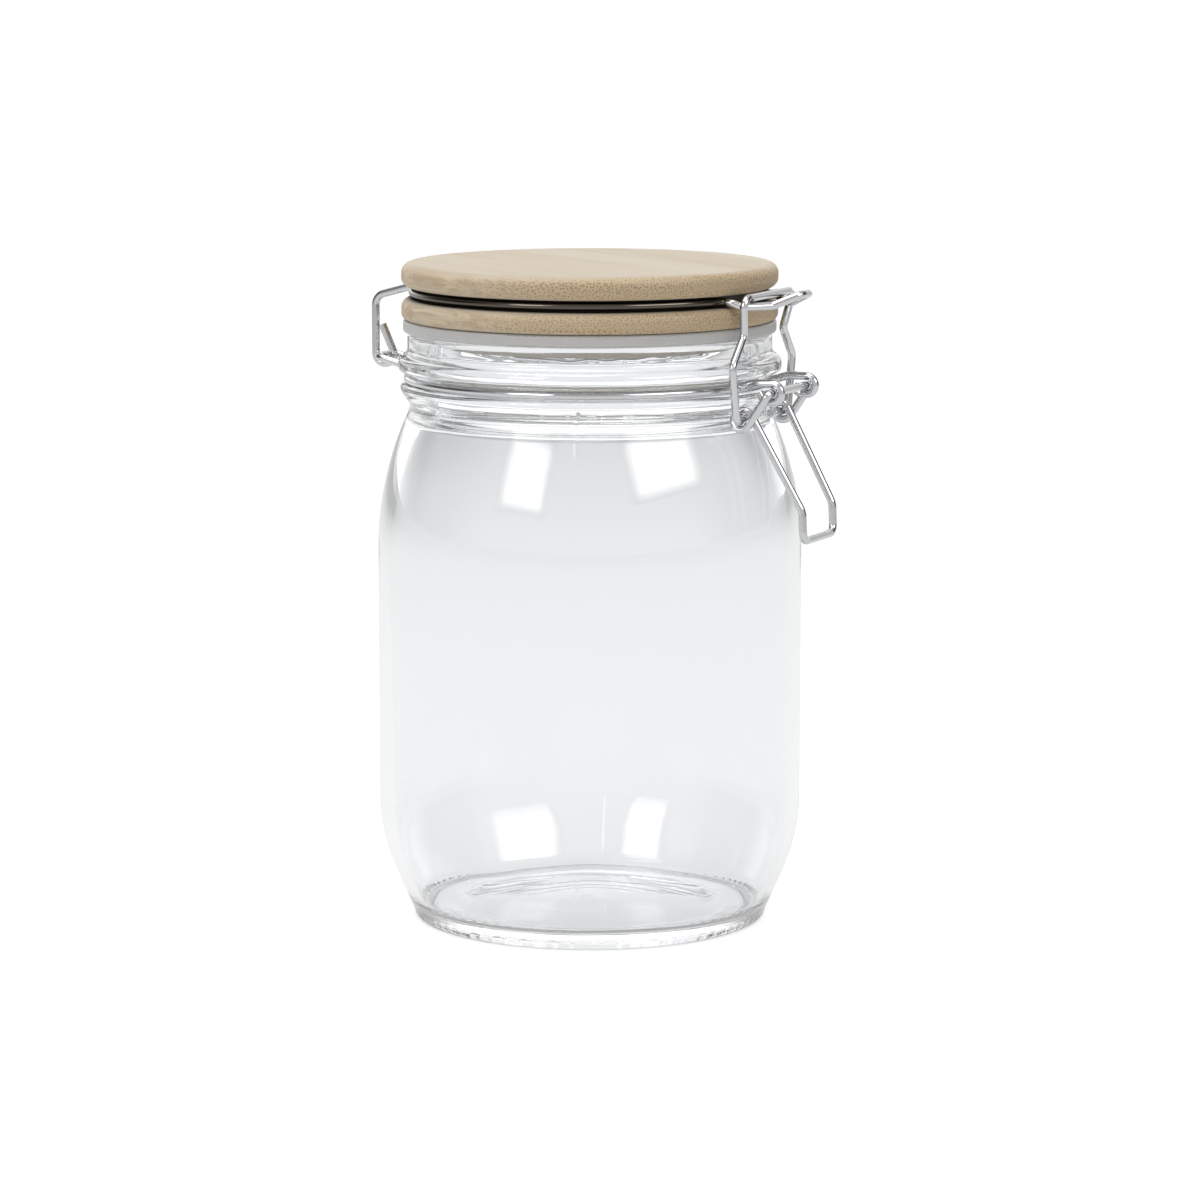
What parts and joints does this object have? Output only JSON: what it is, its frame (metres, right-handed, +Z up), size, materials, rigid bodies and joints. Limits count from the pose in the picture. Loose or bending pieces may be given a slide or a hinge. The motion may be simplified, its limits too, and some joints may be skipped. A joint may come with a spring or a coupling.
{
  "type": "preserving jar",
  "caption": "Empty clear glass preserving jar with a turned bamboo lid, a silicone gasket and a swing clasp of bent steel wire.",
  "frame": {"origin": "on the axis of the jar, in the plane that it stands on", "axes": "+Z up along the axis of the jar, +X towards the clasp, -X towards the hinge of the lid"},
  "size_m": [0.1237, 0.105, 0.1632],
  "materials": {
    "clear_glass": "clear, polished by the mould, with faint seams",
    "bamboo": "matt turned bamboo with fine pores",
    "silicone": "milky translucent silicone",
    "steel_wire": "bright drawn wire"
  },
  "bodies": {
    "jar": {"glass_jar": "clear_glass", "neck_ring": "steel_wire"},
    "lid": {"bamboo_lid": "bamboo", "gasket": "silicone", "lid_wire": "steel_wire"},
    "lever": {"lever": "steel_wire"},
    "bail": {"bail": "steel_wire"}
  },
  "joints": [
    {"name": "lid_hinge", "type": "hinge", "parent": "jar", "child": "lid", "pos_m": [-0.0575, 0, 0.1378], "axis": [0, -1, 0], "range_deg": [0, 180]},
    {"name": "lever_swing", "type": "hinge", "parent": "jar", "child": "lever", "pos_m": [0.0538, 0, 0.1343], "axis": [0, -1, 0], "range_deg": [0, 135], "deforming": ["lid_wire"]},
    {"name": "bail_swing", "type": "hinge", "parent": "lever", "child": "bail", "pos_m": [0.0466, 0, 0.1275], "axis": [0, -1, 0], "range_deg": [-135, 0]}
  ],
  "couplings": [
    {"joint": "bail_swing", "follows": "lever_swing", "ratio": -1}
  ]
}
